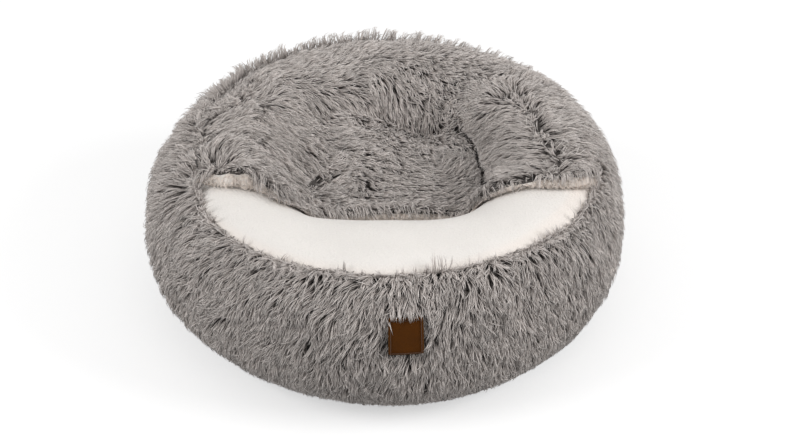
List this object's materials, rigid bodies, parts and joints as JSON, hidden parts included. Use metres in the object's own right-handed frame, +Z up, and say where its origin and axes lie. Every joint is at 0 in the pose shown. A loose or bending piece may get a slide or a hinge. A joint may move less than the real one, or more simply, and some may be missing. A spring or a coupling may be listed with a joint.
{
  "type": "hooded pet bed",
  "caption": "Round stuffed pet bed: a fat ring in long-pile fabric round a crowned cushion, half covered by a soft hood whose front flap lifts.",
  "frame": {"origin": "centre of the round base, on the floor", "axes": "+Z up, -Y out of the hood's mouth towards the label, +X to the right as seen from the mouth's side"},
  "size_m": [0.5834, 0.5862, 0.2202],
  "materials": {
    "grey_fur": "long shaggy pile, warm grey with darker roots",
    "cream_plush": "short soft pile, cream",
    "fibre": "loose polyester fibre, hidden",
    "base_cloth": "plain woven base cloth with small grip dots",
    "tan_leatherette": "smooth matt leatherette, blank",
    "thread": "twisted sewing thread"
  },
  "bodies": {
    "bed": {"base_cloth": "base_cloth", "rim_filling": "fibre", "rim_cover_front": "grey_fur", "rim_cover_back": "grey_fur", "rim_lining_front": "cream_plush", "rim_lining_back": "cream_plush", "cushion_filling": "fibre", "cushion_cover": "cream_plush", "hood_lining": "cream_plush", "hood_fur": "grey_fur", "front_label": "tan_leatherette", "label_stitching": "thread", "corner_tack_left": "thread", "corner_tack_right": "thread"},
    "flap": {"hood_flap_lining": "cream_plush", "hood_flap_fur": "grey_fur"}
  },
  "joints": [
    {"name": "hood_lift", "type": "hinge", "parent": "bed", "child": "flap", "pos_m": [0, 0.06585, 0.18116], "axis": [-1, 0, 0], "range_deg": [0, 40]}
  ]
}
